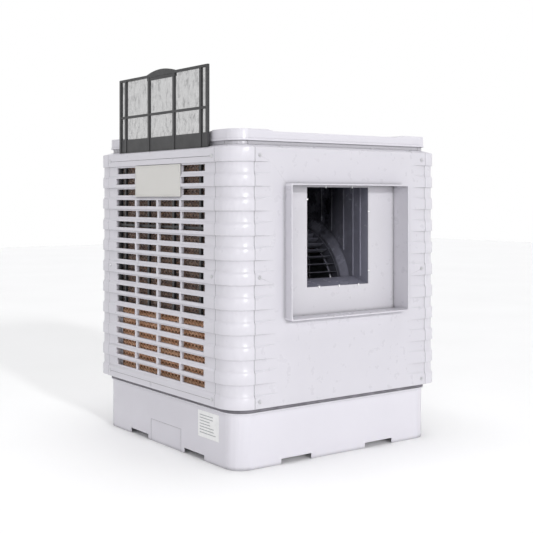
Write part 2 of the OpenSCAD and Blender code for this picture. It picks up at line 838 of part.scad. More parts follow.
// Header pipe over the three troughs, with elbows, a tee over the riser, saddles and outlets
module header_pipe() {
    x_far = cabinet_w / 2 - pipe_in;
    y_far = cabinet_d / 2 - pipe_in;
    y_near = -cabinet_d / 2 + 172.5;
    elbows = [[-x_far, riser_y], [riser_x, riser_y], [riser_x, y_far], [x_far, y_far]];
    saddle_h = pipe_z - pad_top - trough_h;
    outlets = 3;
    color("#3a3b40") difference() {
        union() {
            pipe_y(-x_far, y_near, riser_y, pipe_r);
            pipe_x(-x_far, riser_x, riser_y, pipe_r);
            pipe_y(riser_x, riser_y, y_far, pipe_r);
            pipe_x(riser_x, x_far, y_far, pipe_r);
            pipe_y(x_far, y_near, y_far, pipe_r);
            for (e = elbows) translate([e[0] - block / 2, e[1] - block / 2, pipe_z - block / 2]) cube(block);
            for (s = [-1, 1]) {
                for (x = [-x_far, x_far])
                    translate([x - pad_t / 2, s * 150 - 5, pipe_z - saddle_h]) cube([pad_t, 10, saddle_h]);
                translate([s * 150 - 5, y_far - pad_t / 2, pipe_z - saddle_h]) cube([10, pad_t, saddle_h]);
            }
        }
        pipe_y(-x_far, y_near + 3, riser_y, pipe_bore);
        pipe_x(-x_far, riser_x, riser_y, pipe_bore - 0.4);
        pipe_y(riser_x, riser_y, y_far, pipe_bore);
        pipe_x(riser_x, x_far, y_far, pipe_bore - 0.4);
        pipe_y(x_far, y_near + 3, y_far, pipe_bore);
        translate([riser_x, riser_y, pipe_z - block])
            cylinder(r = pipe_bore - 0.8, h = block, $fn = round_fn);
        for (i = [0:outlets - 1], x = [-x_far, x_far])
            translate([x, -190 + i * 175, pipe_z - pipe_r - cut]) cylinder(r = 2, h = pipe_r, $fn = 32);
        for (i = [0:outlets - 1])
            translate([-190 + i * 175, y_far, pipe_z - pipe_r - cut]) cylinder(r = 2, h = pipe_r, $fn = 32);
    }
}

// Hose from the pump's spigot up to the header
module riser_hose() {
    hose_z = volute_z + volute_h + 6;
    color("#2f3034") translate([riser_x, riser_y, hose_z])
        tube(hose_r, spigot_r, pipe_z - block / 2 - hose_z);
}

// Upright pump: volute, neck, motor can and an outlet arm to the riser
module pump_body() {
    arm = norm([riser_x - pump_x, riser_y - pump_y]);
    volute_r = impeller_r + chamber_gap + 9;
    top = volute_z + volute_h;
    color("#4a5568") difference() {
        union() {
            translate([pump_x, pump_y, 0]) {
                translate([0, 0, volute_z]) cylinder(r = volute_r, h = volute_h, $fn = round_fn);
                translate([0, 0, top - cut]) cylinder(r = 15, h = 50 + 2 * cut, $fn = round_fn);
                translate([0, 0, top + 50]) cylinder(r = 38, h = 76, $fn = round_fn);
                translate([0, 0, top + 126 - cut]) cylinder(r = 26, h = 8 + cut, $fn = round_fn);
                for (a = [90, 210, 330]) rotate([0, 0, a])
                    translate([volute_r - 12, -5, floor_z]) cube([8, 10, volute_z - floor_z + cut]);
                rotate([0, 0, 135]) translate([0, -9, volute_z + 4]) cube([arm, 18, volute_h - 8]);
            }
            translate([riser_x, riser_y, volute_z]) cylinder(r = 13, h = volute_h + 6, $fn = round_fn);
            translate([riser_x, riser_y, top]) cylinder(r = spigot_r, h = 34, $fn = round_fn);
        }
        translate([pump_x, pump_y, volute_z + 4])
            cylinder(r = impeller_r + chamber_gap, h = impeller_h + 2 * chamber_gap, $fn = round_fn);
        translate([pump_x, pump_y, volute_z - cut]) cylinder(r = 13, h = 4 + 2 * cut, $fn = round_fn);
        translate([pump_x, pump_y, volute_z + 10])
            cylinder(r = spindle_r + run_fit, h = volute_h + 60, $fn = round_fn);
        translate([pump_x, pump_y, volute_z + volute_h / 2]) rotate([0, 90, 135])
            translate([0, 0, impeller_r]) cylinder(r = 5, h = arm - impeller_r, $fn = round_fn);
        translate([riser_x, riser_y, volute_z + volute_h / 2])
            cylinder(r = 5.5, h = volute_h + 40, $fn = round_fn);
    }
}

// Impeller with its spindle
module pump_impeller() {
    base_z = volute_z + 4 + chamber_gap;
    color("#c9b458") translate([pump_x, pump_y, base_z]) {
        cylinder(r = impeller_r, h = 3, $fn = round_fn);
        for (i = [0:5]) rotate([0, 0, i * 60]) translate([spindle_r - 1, 2, 2])
            cube([impeller_r - spindle_r - 3, 2.5, impeller_h - 2]);
        cylinder(r = spindle_r, h = volute_h + 55, $fn = round_fn);
        cylinder(r = spindle_r + 4, h = impeller_h, $fn = round_fn);
    }
}

// Slotted cage round the pump's intake
module pump_strainer() {
    cage_r = impeller_r + chamber_gap + 22;
    slots = 20;
    color("#2c4a6e") translate([pump_x, pump_y, floor_z]) difference() {
        tube(cage_r, cage_r - 2.5, 46);
        for (i = [0:slots - 1]) rotate([0, 0, i * 360 / slots])
            translate([cage_r - 5, -3, 6]) cube([8, 6, 32]);
        rotate([0, 0, 135]) translate([0, -11, 4]) cube([cage_r + 5, 22, 50]);
    }
}

// Float valve: a threaded stub through the basin wall and a fork for the arm
module float_valve_body() {
    color("#b8935a") difference() {
        union() {
            translate([stud_x - 15, valve_y - valve_depth, valve_z - 15]) cube([30, valve_depth, 30]);
            translate([stud_x, valve_y - cut, valve_z]) rotate([-90, 0, 0])
                cylinder(r = inlet_r + shank, h = basin_wall + valve_nut + cut, $fn = round_fn);
            translate([stud_x, valve_y + basin_wall, valve_z]) rotate([-90, 0, 0])
                cylinder(r = inlet_r, h = valve_nut + inlet_l, $fn = round_fn);
            for (x = [-12, 8]) translate([stud_x + x, float_pivot_y - 8, valve_z - 8])
                cube([4, 16, 16]);
            translate([stud_x, valve_y + basin_wall, valve_z]) rotate([-90, 0, 0])
                cylinder(r = inlet_r + 8, h = valve_nut, $fn = 6);
        }
        translate([stud_x, valve_y - valve_depth + 6, valve_z]) rotate([-90, 0, 0])
            cylinder(r = inlet_r - 4, h = valve_depth + 60, $fn = round_fn);
        along_x(stud_x - 20, float_pivot_y, valve_z) cylinder(r = pin_r + run_fit, h = 40, $fn = round_fn);
    }
}

// Arm of the float, with the pin it swings on, drawn hanging on its lower stop
module float_arm() {
    color("#c9a24e") {
        along_x(stud_x - 13, float_pivot_y, valve_z) cylinder(r = pin_r, h = 26, $fn = round_fn);
        along_x(stud_x - 6, float_pivot_y, valve_z) cylinder(r = 5, h = 12, $fn = round_fn);
        translate([stud_x, float_pivot_y, valve_z]) rotate([float_drop, 0, 0])
            translate([0, -3, 0]) rotate([90, 0, 0])
                cylinder(r = 2.2, h = float_arm_l - float_r - 3 + cut, $fn = 32);
    }
}

// Hollow float at the end of the arm
module float_ball() {
    color("#d9dbe0") translate([stud_x, float_pivot_y, valve_z]) rotate([float_drop, 0, 0])
        translate([0, -float_arm_l, 0]) difference() {
            sphere(r = float_r, $fn = round_fn);
            rotate([-90, 0, 0]) translate([0, 0, float_r - 1.5]) cylinder(r = 2.2, h = 5, $fn = 32);
        }
}

// ---------------------------------------------------------------- blower

// Wall of the scroll, from the cut-off round to the top of the mouth
module scroll_band() {
    under = 3;
    color("#3b3f4a") plate_yz(-cheek_x, 2 * cheek_x) polygon(concat(
        [[throat_y, mouth_z]],
        scroll_points(0, 0),
        [[throat_y, mouth_top], [throat_y, mouth_top + sheet_t]],
        reversed(scroll_points(under, sheet_t)),
        [[throat_y, mouth_z - sheet_t]]));
}

// Side of the scroll, with an inlet hole and upright stiffeners inside
module scroll_cheek(turn) {
    rib = [3, 5];
    ribs = [for (k = [0:4]) mouth_y + [257.5, 200, 133, 82, 43][k]];
    color("#434754") mirror([turn, 0, 0]) {
        difference() {
            plate_yz(cheek_x, sheet_t) polygon(concat(
                [[throat_y, mouth_z - sheet_t]],
                scroll_points(3, sheet_t),
                [[throat_y, mouth_top + sheet_t]]));
            along_x(cheek_x - cut, wheel_y, wheel_z)
                cylinder(r = inlet_cone_r, h = sheet_t + 2 * cut, $fn = 128);
        }
        for (y = ribs) {
            off = abs(y - wheel_y);
            low = off < inlet_flange_r - 1
                ? wheel_z + sqrt(inlet_flange_r * inlet_flange_r - off * off)
                : mouth_z + 24;
            translate([cheek_x - rib[0], y - rib[1] / 2, low])
                cube([rib[0] + cut, rib[1], mouth_top - 2 - low]);
        }
    }
}

module scroll_cheek_left() scroll_cheek(1);
module scroll_cheek_right() scroll_cheek(0);

// Inlet ring: a cone from the cheek in to the wheel, then a bell into it
module inlet_ring(turn) {
    eye = wheel_r - blade_depth;
    face = wheel_x + ring_gap;
    lip = face - 11.5;
    color("#4b505d") mirror([turn, 0, 0]) along_x(0, wheel_y, wheel_z) rotate_extrude($fn = 128)
        polygon([[inlet_flange_r, cheek_out], [inlet_cone_r, cheek_out], [wheel_r + 8, face],
            [eye - 2.5, face], [eye - 4.5, lip], [eye - 7, lip], [eye - 5, face + sheet_t],
            [wheel_r + 7, face + sheet_t], [inlet_cone_r - 1, cheek_out + sheet_t],
            [inlet_flange_r, cheek_out + sheet_t]]);
}

module inlet_ring_left() inlet_ring(1);
module inlet_ring_right() inlet_ring(0);

// Section of one forward-curved blade, as (radius, across) points
function blade_line(shift) = [for (i = [0:blade_steps]) let (t = i / blade_steps)
    [wheel_r - blade_depth + (blade_depth - 2) * t, blade_bow * sin(90 * t) * 1.6 - blade_bow + shift]];

// Double-inlet wheel: blades between two end rings, a middle disc and a hub
module blower_wheel() {
    color("#2e323c") along_x(0, wheel_y, wheel_z) {
        difference() {
            union() {
                for (i = [0:blade_n - 1]) rotate([0, 0, i * 360 / blade_n])
                    translate([0, 0, -wheel_x + ring_t - 0.5]) linear_extrude(2 * (wheel_x - ring_t) + 1)
                        polygon(concat(blade_line(0), reversed(blade_line(blade_t))));
                for (z = [-wheel_x, wheel_x - ring_t]) translate([0, 0, z])
                    tube(wheel_r, wheel_r - blade_depth, ring_t);
                translate([0, 0, -disc_t / 2])
                    cylinder(r = wheel_r - blade_depth + 6, h = disc_t, $fn = round_fn);
                translate([0, 0, -hub_l / 2]) cylinder(r = hub_r, h = hub_l, $fn = round_fn);
            }
            translate([0, 0, -hub_l]) cylinder(r = shaft_r, h = 2 * hub_l, $fn = round_fn);
        }
    }
}

module blower_shaft() {
    color("silver") along_x(-shaft_left, wheel_y, wheel_z)
        cylinder(r = shaft_r, h = shaft_left + shaft_right, $fn = round_fn);
}

// Grooved pulley with a web, a rim and a hub
module pulley(outer_r, bore_r, hub) {
    web = 6;
    rim = min(24, outer_r - hub);
    side_w = (pulley_l - 14) / 2;
    root_w = (pulley_l - 8) / 2;
    rotate_extrude($fn = 128) {
        polygon([[outer_r - rim, 0], [outer_r, 0], [outer_r, side_w], [outer_r - groove, root_w],
            [outer_r - groove, pulley_l - root_w], [outer_r, pulley_l - side_w], [outer_r, pulley_l],
            [outer_r - rim, pulley_l]]);
        translate([hub - cut, (pulley_l - web) / 2]) square([max(cut, outer_r - rim - hub) + 2 * cut, web]);
        translate([bore_r, 0]) square([hub - bore_r, pulley_l]);
    }
}

module driven_pulley() {
    color("#7d8188") along_x(pulley_x, wheel_y, wheel_z) pulley(pulley_r, shaft_r, 26);
}

// Two pillow bearings on the shaft
module shaft_bearings() {
    color("#5c6066") for (turn = [0, 1]) mirror([turn, 0, 0])
        along_x(bearing_x, wheel_y, wheel_z) tube(bearing_r, shaft_r + run_fit, bearing_l);
}

// Two upright bars that carry the bearings across the inlets
module bearing_brackets() {
    color("#8a8e95") for (turn = [0, 1]) mirror([turn, 0, 0]) difference() {
        union() {
            translate([bracket_x, wheel_y - bracket_w / 2, wheel_z - bracket_half])
                cube([bracket_t, bracket_w, 2 * bracket_half]);
            for (z = [-bracket_half, bracket_half - 20])
                translate([cheek_out, wheel_y - bracket_w / 2, wheel_z + z])
                    cube([bracket_x - cheek_out + cut, bracket_w, 20]);
        }
        along_x(bracket_x - cut, wheel_y, wheel_z)
            cylinder(r = shaft_r + 4, h = bracket_t + 2 * cut, $fn = round_fn);
    }
}

// Two tube rails on the basin's cleats, with four uprights to the scroll's sides
module blower_frame() {
    span = basin_out_w - 2 * basin_wall - 2;
    post_top = wheel_z - sqrt(pow(inlet_flange_r + 3, 2) - pow(rail_at - rail / 2, 2));
    color("#8a8e95") for (s = [-1, 1]) translate([0, wheel_y + s * rail_at, 0]) {
        difference() {
            translate([-span / 2, -rail / 2, rail_z]) cube([span, rail, rail]);
            translate([-span / 2 - cut, -rail / 2 + rail_t, rail_z + rail_t])
                cube([span + 2 * cut, rail - 2 * rail_t, rail - 2 * rail_t]);
        }
        for (x = [-cheek_out - post_t, cheek_out])
            translate([x, -rail / 2, rail_z + rail - cut])
                cube([post_t, rail, post_top - rail_z - rail + cut]);
    }
}

// ---------------------------------------------------------------- motor and electrics

// Shelf behind the scroll, on two gussets fixed to its sides
module motor_bracket() {
    gusset = [[wheel_y + 225, wheel_z + 219], [wheel_y + 285, wheel_z + 206],
        [shelf_end, shelf_z - 14], [shelf_end, shelf_z], [wheel_y + 225, shelf_z]];
    reach = scroll_radius(scroll_turn) + sheet_t - 14;
    shelf_y = wheel_y + sqrt(pow(reach, 2) - pow(shelf_z - shelf_t - wheel_z, 2));
    color("#8a8e95") {
        for (x = [-cheek_out - 3, cheek_out]) plate_yz(x, 3) polygon(gusset);
        translate([-cheek_out - cut, shelf_y, shelf_z - shelf_t])
            cube([2 * (cheek_out + cut), shelf_end - shelf_y, shelf_t]);
    }
}

// Motor with two end bells, cooling ribs and a foot
module motor_body() {
    ribs = 24;
    color("#3f5f8a") difference() {
        union() {
            along_x(-motor_half + 20, motor_y, motor_z)
                cylinder(r = motor_r - 3, h = 2 * motor_half - 40, $fn = round_fn);
            for (x = [-motor_half + 8, motor_half - 32]) along_x(x, motor_y, motor_z)
                cylinder(r = motor_r, h = 24, $fn = round_fn);
            for (x = [-motor_half, motor_half - 9]) along_x(x, motor_y, motor_z)
                cylinder(r = 24, h = 9, $fn = round_fn);
            for (i = [0:ribs - 1]) along_x(-motor_half + 30, motor_y, motor_z) rotate([0, 0, i * 360 / ribs])
                translate([motor_r - 5, -1.5, 0]) cube([4, 3, 2 * motor_half - 60]);
            for (x = [-60, 30]) translate([x, motor_y - 45, shelf_z]) cube([30, 90, 26]);
        }
        along_x(motor_half - 40, motor_y, motor_z)
            cylinder(r = motor_shaft_r + run_fit, h = 60, $fn = round_fn);
    }
}

module motor_shaft() {
    color("silver") along_x(motor_half - 39, motor_y, motor_z)
        cylinder(r = motor_shaft_r, h = shaft_right - motor_half + 39, $fn = round_fn);
}

module motor_pulley() {
    color("#7d8188") along_x(pulley_x, motor_y, motor_z) pulley(motor_pulley_r, motor_shaft_r, 16);
}

// Outline of a belt round two pulleys, as (y, z) points
function belt_outline(big_r, small_r) = let (
    gap = [motor_y - wheel_y, motor_z - wheel_z],
    aim = atan2(gap[1], gap[0]),
    open = acos((big_r - small_r) / norm(gap)))
    concat(
        [for (i = [0:belt_steps]) let (a = aim + open + (360 - 2 * open) * i / belt_steps)
            [wheel_y + big_r * cos(a), wheel_z + big_r * sin(a)]],
        [for (i = [0:belt_steps / 2]) let (a = aim - open + 2 * open * i / (belt_steps / 2))
            [motor_y + small_r * cos(a), motor_z + small_r * sin(a)]]);

module drive_belt() {
    color("#1c1c1e") plate_yz(pulley_x + (pulley_l - belt_w) / 2, belt_w) difference() {
        polygon(belt_outline(pulley_r - belt_in + belt_t, motor_pulley_r - belt_in + belt_t));
        polygon(belt_outline(pulley_r - belt_in, motor_pulley_r - belt_in));
    }
}

// Box for the wiring, on the left side of the scroll
module junction_box() {
    size = [45, 90, 50];
    color("#6b6e75") translate([-cheek_out - size[0], wheel_y + 40, wheel_z + 306]) {
        translate([3, 0, 0]) cube([size[0] - 3, size[1], size[2]]);
        translate([0, -2, -2]) cube([3, size[1] + 4, size[2] + 4]);
    }
}

// Gland for the mains cord, through the right wall of the basin
module cable_gland() {
    color("#2b2c30") along_x(basin_out_w / 2, gland_y, valve_z) difference() {
        union() {
            translate([0, 0, -basin_wall - 8]) cylinder(r = gland_r + 5, h = 8, $fn = 6);
            translate([0, 0, -basin_wall - cut])
                cylinder(r = gland_r, h = basin_wall + 2 * cut, $fn = round_fn);
            cylinder(r = gland_r + 5, h = 8, $fn = 6);
            translate([0, 0, 8 - cut]) cylinder(r = gland_r, h = 10 + cut, $fn = round_fn);
        }
        translate([0, 0, -40]) cylinder(r = cord_r, h = 80, $fn = round_fn);
    }
}

basin();
basin_floor();
drain_fitting();
overflow_standpipe();
column_front_left();
column_front_right();
column_rear_left();
column_rear_right();
outlet_panel();
mouth_plate();
mouth_clips();
grille_left();
grille_rear();
grille_right();
nameplate();
rating_sticker();
panel_screws();
lid();
filter_frame_left();
filter_mesh_left();
filter_frame_rear();
filter_mesh_rear();
filter_frame_right();
filter_mesh_right();
pad_left();
pad_rear();
pad_right();
pad_tray_left();
pad_tray_rear();
pad_tray_right();
water_trough_left();
water_trough_rear();
water_trough_right();
header_pipe();
riser_hose();
pump_body();
pump_impeller();
pump_strainer();
float_valve_body();
float_arm();
float_ball();
scroll_band();
scroll_cheek_left();
scroll_cheek_right();
inlet_ring_left();
inlet_ring_right();
blower_wheel();
blower_shaft();
driven_pulley();
shaft_bearings();
bearing_brackets();
blower_frame();
motor_body();
motor_shaft();
motor_pulley();
motor_bracket();
drive_belt();
junction_box();
cable_gland();
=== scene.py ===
"""Looks of a side-discharge evaporative cooler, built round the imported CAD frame.
All lengths are in metres, in the frame's own axes: +Z up, the outlet faces -Y."""
import math
import random

import bpy
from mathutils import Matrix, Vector


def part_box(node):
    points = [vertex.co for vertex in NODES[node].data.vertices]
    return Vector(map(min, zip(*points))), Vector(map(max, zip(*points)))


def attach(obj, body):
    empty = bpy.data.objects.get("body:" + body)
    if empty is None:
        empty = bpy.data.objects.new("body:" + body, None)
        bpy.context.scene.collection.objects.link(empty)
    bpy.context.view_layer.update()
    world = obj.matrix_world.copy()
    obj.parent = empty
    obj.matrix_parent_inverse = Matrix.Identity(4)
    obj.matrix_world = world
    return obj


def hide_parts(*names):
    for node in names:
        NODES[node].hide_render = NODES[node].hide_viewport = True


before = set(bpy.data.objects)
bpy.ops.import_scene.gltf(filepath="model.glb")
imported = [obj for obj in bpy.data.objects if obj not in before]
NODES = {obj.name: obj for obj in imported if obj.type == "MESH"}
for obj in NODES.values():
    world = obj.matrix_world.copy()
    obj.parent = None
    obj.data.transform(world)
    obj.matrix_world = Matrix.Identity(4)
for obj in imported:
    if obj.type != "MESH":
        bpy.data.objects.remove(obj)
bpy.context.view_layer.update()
SIDES = ("left", "rear", "right")
MM = 0.001

# ---------------------------------------------------------------- camera and lights

scene = bpy.context.scene


def make_camera():
    """The view of the reference: from the front left, a little above the middle."""
    heading = math.radians(35.37)
    data = bpy.data.cameras.new("camera")
    data.lens = 67.56
    data.sensor_width = 36.0
    data.shift_x = 0.0497
    data.shift_y = -0.1283
    data.clip_end = 60
    obj = bpy.data.objects.new("camera", data)
    scene.collection.objects.link(obj)
    obj.location = (-2.2888, -3.0685, 0.8849)
    look = Vector((math.sin(heading), math.cos(heading), 0.0))
    obj.rotation_mode = "QUATERNION"
    obj.rotation_quaternion = look.to_track_quat("-Z", "Y")
    scene.camera = obj


def make_light(name, at, aim, size, power):
    """A rectangular soft box at one place, turned to another."""
    data = bpy.data.lights.new(name, "AREA")
    data.shape = "RECTANGLE"
    data.size, data.size_y = size
    data.energy = power
    obj = bpy.data.objects.new(name, data)
    scene.collection.objects.link(obj)
    obj.location = at
    obj.rotation_mode = "QUATERNION"
    obj.rotation_quaternion = (Vector(aim) - Vector(at)).to_track_quat("-Z", "Y")


def make_sun(name, strength, angle, toward):
    """A light from far away; the wider its angle, the softer its shadows."""
    data = bpy.data.lights.new(name, "SUN")
    data.energy = strength
    data.angle = math.radians(angle)
    obj = bpy.data.objects.new(name, data)
    scene.collection.objects.link(obj)
    obj.rotation_mode = "QUATERNION"
    obj.rotation_quaternion = Vector(toward).to_track_quat("-Z", "Y")


def make_world():
    """A white studio: bright round the horizon and softer overhead."""
    world = bpy.data.worlds.new("studio")
    scene.world = world
    world.use_nodes = True
    tree = world.node_tree
    back = tree.nodes["Background"]
    place = tree.nodes.new("ShaderNodeTexCoord")
    split = tree.nodes.new("ShaderNodeSeparateXYZ")
    ramp = tree.nodes.new("ShaderNodeValToRGB")
    tree.links.new(place.outputs["Generated"], split.inputs[0])
    tree.links.new(split.outputs["Z"], ramp.inputs["Fac"])
    tree.links.new(ramp.outputs["Color"], back.inputs["Color"])
    low, high = ramp.color_ramp.elements
    low.position, low.color = 0.24, (1.0, 1.0, 1.0, 1.0)
    high.position, high.color = 0.52, (0.17, 0.17, 0.18, 1.0)
    back.inputs["Strength"].default_value = 1.0


make_camera()
make_world()
MID = (0.0, -0.1, 0.65)
make_light("key", (1.5, -4.4, 3.2), MID, (1.0, 1.0), 3)
make_light("fill", (-3.2, -3.4, 2.0), MID, (0.8, 1.4), 20)
make_sun("top", 2.05, 50, (0.0, 0.0, -1.0))
make_sun("edge", 1.20, 5, (0.12, 1.0, -0.33))
scene.view_settings.view_transform = "Standard"


# ---------------------------------------------------------------- material helpers

# The colour sockets of a mix node, whose names it shares with its number sockets
MIX_A, MIX_B, MIX_RESULT = 6, 7, 2

class Graph:
    """A material's node tree, with the few nodes that the finishes below are made from.

    A value given to these is a number, a colour or another node's output."""

    def __init__(self, name, **fixed):
        self.mat = bpy.data.materials.new(name)
        self.mat.use_nodes = True
        self.tree = self.mat.node_tree
        self.bsdf = self.tree.nodes["Principled BSDF"]
        for socket, value in fixed.items():
            self.bsdf.inputs[socket.replace("_", " ")].default_value = value
        self.place = self.add("ShaderNodeTexCoord").outputs["Object"]

    def add(self, kind, **props):
        node = self.tree.nodes.new(kind)
        for key, value in props.items():
            setattr(node, key, value)
        return node

    def put(self, value, socket):
        if hasattr(value, "is_linked"):
            self.tree.links.new(value, socket)
        else:
            socket.default_value = value

    def stretch(self, scale):
        node = self.add("ShaderNodeMapping")
        self.put(self.place, node.inputs["Vector"])
        node.inputs["Scale"].default_value = scale
        return node.outputs["Vector"]

    def noise(self, scale, detail=3.0, rough=0.5, at=None):
        node = self.add("ShaderNodeTexNoise")
        self.put(at or self.place, node.inputs["Vector"])
        node.inputs["Scale"].default_value = scale
        node.inputs["Detail"].default_value = detail
        node.inputs["Roughness"].default_value = rough
        return node.outputs["Fac"]

    def cells(self, scale):
        node = self.add("ShaderNodeTexVoronoi", feature="F1")
        self.put(self.place, node.inputs["Vector"])
        node.inputs["Scale"].default_value = scale
        return node.outputs["Distance"]

    def ramp(self, value, *stops):
        node = self.add("ShaderNodeValToRGB")
        self.put(value, node.inputs["Fac"])
        points = node.color_ramp.elements
        while len(points) < len(stops):
            points.new(0.5)
        for point, (at, colour) in zip(points, stops):
            point.position = at
            grey = (colour,) * 3 if isinstance(colour, (int, float)) else tuple(colour)
            point.color = (*grey, 1.0)
        return node.outputs["Color"]

    def maths(self, operation, a, b=0.0):
        node = self.add("ShaderNodeMath", operation=operation)
        self.put(a, node.inputs[0])
        self.put(b, node.inputs[1])
        return node.outputs[0]

    def mix(self, factor, a, b):
        node = self.add("ShaderNodeMix", data_type="RGBA")
        self.put(factor, node.inputs["Factor"])
        self.put(a, node.inputs[MIX_A])
        self.put(b, node.inputs[MIX_B])
        return node.outputs[MIX_RESULT]

    def axis(self, name):
        node = self.add("ShaderNodeSeparateXYZ")
        self.put(self.place, node.inputs[0])
        return node.outputs[name]

    def shade_in_hollows(self, reach):
        """1 deep in a joint or a groove narrower than reach, 0 on an open face, for painting shade
        into them.
        """
        node = self.add("ShaderNodeAmbientOcclusion", samples=6)
        node.inputs["Distance"].default_value = reach
        return self.ramp(node.outputs["AO"], (0.12, 0.95), (0.55, 0.50), (0.90, 0.0))

    def bump(self, height, strength, distance, under=None):
        node = self.add("ShaderNodeBump")
        self.put(height, node.inputs["Height"])
        node.inputs["Strength"].default_value = strength
        node.inputs["Distance"].default_value = distance
        if under:
            self.put(under, node.inputs["Normal"])
        return node.outputs["Normal"]

    def finish(self, colour, rough, normal):
        self.put(colour, self.bsdf.inputs["Base Color"])
        self.put(rough, self.bsdf.inputs["Roughness"])
        self.put(normal, self.bsdf.inputs["Normal"])
        return self.mat


# How high above the floor dust settles on the basin
DUST_TOP = 0.22


def tint(colour, factor):
    return tuple(min(1.0, c * factor) for c in colour)


def moulded(name, colour, rough, grain, drift, dust=0.0):
    """Injection-moulded plastic: fine spark grain, slow drift in colour, faint scuffs, and painted
    shade in its joints and grooves.
    """
    g = Graph(name)
    slow = g.noise(3.5, 4.0, 0.55)
    body = g.ramp(slow, (0.25, tint(colour, 1 - drift)), (0.75, tint(colour, 1 + drift)))
    scuff = g.noise(14.0, 6.0, 0.7, at=g.stretch((1.0, 1.0, 0.35)))
    body = g.mix(g.ramp(scuff, (0.60, 0.0), (0.90, 0.05)), body, (*tint(colour, 0.92), 1.0))
    # Painted shade: much darker in seams, grooves, course steps and other narrow hollows
    body = g.mix(g.shade_in_hollows(0.014), body, (*tint(colour, 0.30), 1.0))
    if dust:
        low = g.ramp(g.axis("Z"), (0.0, dust), (DUST_TOP, 0.0))
        body = g.mix(low, body, (*tint(colour, 0.72), 1.0))
    shine = g.ramp(g.noise(30.0, 5.0, 0.6), (0.3, rough[0]), (0.75, rough[1]))
    fine = g.bump(g.noise(1400.0, 2.0, 0.5), grain * 0.35, 0.00012)
    wave = g.bump(g.noise(9.0, 2.0, 0.5), 0.10, 0.0018, fine)
    return g.finish(body, shine, wave)


def ducting(name, colour, painted_shade_colour, rough=(0.20, 0.32)):
    """Moulded plastic of the fan housing with pale bloom patches; its colour runs from pale at the
    mouth, as painted light, to near black further in and higher up, as painted shade.
    """
    g = Graph(name)
    lo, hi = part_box("scroll_band")
    fade, middle, rise = 0.30, 0.72, 1.1
    # Painted light and shade: pale near the mouth, where light comes in, and near black further in
    # and higher up
    inward = g.maths("DIVIDE", g.maths("SUBTRACT", g.axis("Y"), lo.y), fade)
    upward = g.maths("MULTIPLY", g.maths("SUBTRACT", g.axis("Z"), middle), rise)
    inward = g.maths("ADD", inward, upward)
    body = g.mix(g.ramp(inward, (0.0, 0.0), (0.85, 1.0)), (*colour, 1.0), (*painted_shade_colour, 1.0))
    bloom = g.noise(9.0, 5.0, 0.6)
    body = g.mix(g.ramp(bloom, (0.45, 0.0), (0.75, 0.30)), body, (*tint(colour, 1.5), 1.0))
    shine = g.ramp(bloom, (0.3, rough[0]), (0.75, rough[1]))
    return g.finish(body, shine, g.bump(g.noise(1400.0, 2.0, 0.5), 0.12, 0.00012))


def galvanised(name, colour, rough=(0.32, 0.55)):
    """Zinc-coated sheet: spangle of flat crystals with a dull bloom."""
    g = Graph(name, Metallic=0.85)
    spangle = g.cells(85.0)
    body = g.ramp(spangle, (0.1, tint(colour, 0.82)), (0.7, tint(colour, 1.12)))
    bloom = g.noise(18.0, 5.0, 0.65)
    body = g.mix(g.ramp(bloom, (0.50, 0.0), (0.75, 0.5)), body, (*tint(colour, 0.74), 1.0))
    shine = g.ramp(bloom, (0.3, rough[0]), (0.7, rough[1]))
    return g.finish(body, shine, g.bump(spangle, 0.12, 0.0003))


def turned(name, colour, along, rough=(0.16, 0.34)):
    """Turned or ground metal: fine lines round the part's own axis."""
    g = Graph(name, Metallic=1.0)
    round_it, across_it = 6.0, 900.0
    scale = [round_it] * 3
    scale["XYZ".index(along)] = across_it
    lines = g.noise(1.0, 3.0, 0.6, at=g.stretch(tuple(scale)))
    body = g.ramp(lines, (0.3, tint(colour, 0.86)), (0.7, tint(colour, 1.08)))
    stain = g.noise(40.0, 5.0, 0.7)
    body = g.mix(g.ramp(stain, (0.56, 0.0), (0.80, 0.55)), body, (*tint(colour, 0.55), 1.0))
    shine = g.ramp(lines, (0.2, rough[0]), (0.8, rough[1]))
    return g.finish(body, shine, g.bump(lines, 0.15, 0.0002))


def enamel(name, colour, rough=(0.22, 0.38)):
    """Brushed-on enamel: orange peel and small chips."""
    g = Graph(name, Coat_Weight=0.35, Coat_Roughness=0.18)
    body = g.ramp(g.noise(7.0, 4.0, 0.6), (0.3, tint(colour, 0.88)), (0.7, tint(colour, 1.1)))
    chips = g.ramp(g.noise(55.0, 6.0, 0.75), (0.70, 0.0), (0.74, 1.0))
    body = g.mix(chips, body, (0.30, 0.30, 0.31, 1.0))
    peel = g.bump(g.noise(420.0, 2.0, 0.5), 0.18, 0.0002)
    return g.finish(body, g.ramp(g.noise(25.0), (0.3, rough[0]), (0.7, rough[1])), peel)


def rubber(name, colour, ribs=0.0):
    """Matt rubber with a pale bloom; ribs is the count of moulded rings a metre up Z."""
    g = Graph(name, Specular_IOR_Level=0.35)
    bloom = g.noise(28.0, 5.0, 0.65)
    body = g.ramp(bloom, (0.35, colour), (0.8, tint(colour, 1.9)))
    normal = g.bump(g.noise(700.0, 3.0, 0.6), 0.25, 0.0003)
    if ribs:
        rings = g.maths("SINE", g.maths("MULTIPLY", g.axis("Z"), ribs * 2 * math.pi))
        normal = g.bump(rings, 0.5, 0.0008, normal)
    return g.finish(body, g.ramp(bloom, (0.3, 0.62), (0.8, 0.85)), normal)


